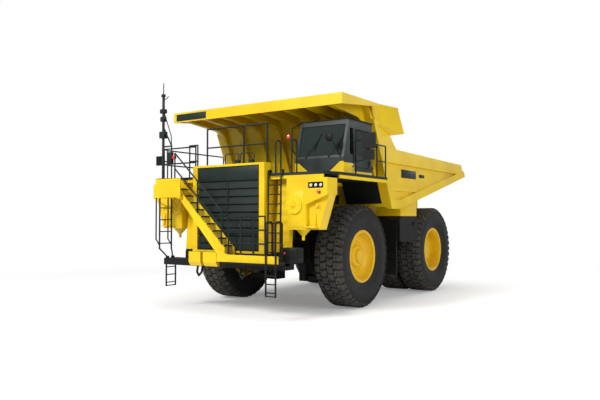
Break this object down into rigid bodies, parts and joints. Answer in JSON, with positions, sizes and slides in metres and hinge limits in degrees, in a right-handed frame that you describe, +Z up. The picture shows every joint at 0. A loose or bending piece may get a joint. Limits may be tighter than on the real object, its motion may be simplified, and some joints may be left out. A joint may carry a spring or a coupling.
{
  "type": "mining dump truck",
  "caption": "Two-axle rigid dump truck for open-pit haulage: a deep rock bed that tips on telescopic hoists, a cab on a high deck and steered front wheels.",
  "frame": {"origin": "on the ground, at the middle of the truck's length and width", "axes": "-Y the way the truck faces, +X its left, +Z up"},
  "size_m": [7.6, 11.38, 6.7],
  "materials": {
    "yellow_paint": "gloss paint",
    "dark_paint": "satin paint",
    "black_paint": "satin paint",
    "cab_paint": "satin paint",
    "tyre_rubber": "matte",
    "cylinder_steel": "polished",
    "cast_housing": "painted casting",
    "window_glass": "clear",
    "seat_fabric": "woven"
  },
  "bodies": {
    "chassis": {"frame": "black_paint", "engine_block": "cast_housing", "transmission": "cast_housing", "rear_axle": "cast_housing", "radiator_housing": "yellow_paint", "radiator": "dark_paint", "bumper_beam": "black_paint", "bumper_platform": "yellow_paint", "platform_rail": "dark_paint", "stairway": "yellow_paint", "stair_handrail": "dark_paint", "deck_left": "dark_paint", "deck_right": "dark_paint", "deck_centre": "dark_paint", "side_box_left": "yellow_paint", "side_box_right": "yellow_paint", "mudguard_left": "black_paint", "mudguard_right": "black_paint", "ladder_left": "dark_paint", "ladder_right": "dark_paint", "guardrail_left": "dark_paint", "guardrail_right": "dark_paint", "guard_frame": "dark_paint", "mast": "dark_paint", "mirror_left": "black_paint", "mirror_right": "black_paint", "fuel_tank": "black_paint", "hydraulic_tank": "black_paint", "storage_box": "yellow_paint", "cab_shell": "cab_paint", "windscreen": "window_glass", "cab_rear_glass": "window_glass", "operator_seat": "seat_fabric", "dashboard": "black_paint"},
    "dump_bed": {"bed_floor": "yellow_paint", "bed_front": "yellow_paint", "bed_side_left": "yellow_paint", "bed_side_right": "yellow_paint"},
    "hoist_barrel_left": {"hoist_barrel_left": "black_paint"},
    "hoist_stage_left": {"hoist_stage_left": "cylinder_steel"},
    "hoist_rod_left": {"hoist_rod_left": "cylinder_steel"},
    "hoist_barrel_right": {"hoist_barrel_right": "black_paint"},
    "hoist_stage_right": {"hoist_stage_right": "cylinder_steel"},
    "hoist_rod_right": {"hoist_rod_right": "cylinder_steel"},
    "knuckle_left": {"knuckle_left": "cast_housing"},
    "knuckle_right": {"knuckle_right": "cast_housing"},
    "front_left_wheel": {"front_rim_left": "yellow_paint", "front_tyre_left": "tyre_rubber"},
    "front_right_wheel": {"front_rim_right": "yellow_paint", "front_tyre_right": "tyre_rubber"},
    "rear_left_wheels": {"rear_rims_left": "yellow_paint", "rear_outer_tyre_left": "tyre_rubber", "rear_inner_tyre_left": "tyre_rubber"},
    "rear_right_wheels": {"rear_rims_right": "yellow_paint", "rear_outer_tyre_right": "tyre_rubber", "rear_inner_tyre_right": "tyre_rubber"},
    "cab_door_left": {"cab_door_left": "cab_paint", "cab_door_left_glass": "window_glass"},
    "cab_door_right": {"cab_door_right": "cab_paint", "cab_door_right_glass": "window_glass"}
  },
  "joints": [
    {"name": "bed_tip", "type": "hinge", "parent": "chassis", "child": "dump_bed", "pos_m": [0, 4.51, 2.55], "axis": [-1, 0, 0], "range_deg": [0, 48]},
    {"name": "hoist_tilt_left", "type": "hinge", "parent": "chassis", "child": "hoist_barrel_left", "pos_m": [0.755, 1.21, 1.05], "axis": [-1, 0, 0], "range_deg": [0, 22.94]},
    {"name": "hoist_stage_slide_left", "type": "slide", "parent": "hoist_barrel_left", "child": "hoist_stage_left", "axis": [0, -0.0926, 0.9957], "range_m": [0, 1.3]},
    {"name": "hoist_rod_slide_left", "type": "slide", "parent": "hoist_stage_left", "child": "hoist_rod_left", "axis": [0, -0.0926, 0.9957], "range_m": [0, 1.3]},
    {"name": "steer_left", "type": "hinge", "parent": "chassis", "child": "knuckle_left", "pos_m": [1.42, -1.89, 1.53], "axis": [0, 0, 1], "range_deg": [-32, 32]},
    {"name": "front_left_spin", "type": "hinge", "parent": "knuckle_left", "child": "front_left_wheel", "pos_m": [2.235, -1.89, 1.53], "axis": [1, 0, 0], "continuous": true},
    {"name": "rear_left_spin", "type": "hinge", "parent": "chassis", "child": "rear_left_wheels", "pos_m": [2.255, 3.46, 1.53], "axis": [1, 0, 0], "continuous": true},
    {"name": "hoist_tilt_right", "type": "hinge", "parent": "chassis", "child": "hoist_barrel_right", "pos_m": [-0.755, 1.21, 1.05], "axis": [-1, 0, 0], "range_deg": [0, 22.94]},
    {"name": "hoist_stage_slide_right", "type": "slide", "parent": "hoist_barrel_right", "child": "hoist_stage_right", "axis": [0, -0.0926, 0.9957], "range_m": [0, 1.3]},
    {"name": "hoist_rod_slide_right", "type": "slide", "parent": "hoist_stage_right", "child": "hoist_rod_right", "axis": [0, -0.0926, 0.9957], "range_m": [0, 1.3]},
    {"name": "steer_right", "type": "hinge", "parent": "chassis", "child": "knuckle_right", "pos_m": [-1.42, -1.89, 1.53], "axis": [0, 0, 1], "range_deg": [-32, 32]},
    {"name": "front_right_spin", "type": "hinge", "parent": "knuckle_right", "child": "front_right_wheel", "pos_m": [-2.235, -1.89, 1.53], "axis": [1, 0, 0], "continuous": true},
    {"name": "rear_right_spin", "type": "hinge", "parent": "chassis", "child": "rear_right_wheels", "pos_m": [-2.255, 3.46, 1.53], "axis": [1, 0, 0], "continuous": true},
    {"name": "cab_door_left_hinge", "type": "hinge", "parent": "chassis", "child": "cab_door_left", "pos_m": [3.1, -2.34, 4.6], "axis": [0, 0, 1], "range_deg": [0, 80]},
    {"name": "cab_door_right_hinge", "type": "hinge", "parent": "chassis", "child": "cab_door_right", "pos_m": [1.46, -2.34, 4.6], "axis": [0, 0, -1], "range_deg": [0, 80]}
  ],
  "couplings": [
    {"joint": "hoist_tilt_left", "follows": "bed_tip", "ratio": 0.47792},
    {"joint": "hoist_stage_slide_left", "follows": "bed_tip", "m_per_rad": 1.5517},
    {"joint": "hoist_rod_slide_left", "follows": "bed_tip", "m_per_rad": 1.5517},
    {"joint": "hoist_tilt_right", "follows": "bed_tip", "ratio": 0.47792},
    {"joint": "hoist_stage_slide_right", "follows": "bed_tip", "m_per_rad": 1.5517},
    {"joint": "hoist_rod_slide_right", "follows": "bed_tip", "m_per_rad": 1.5517},
    {"joint": "steer_right", "follows": "steer_left", "ratio": 1}
  ]
}
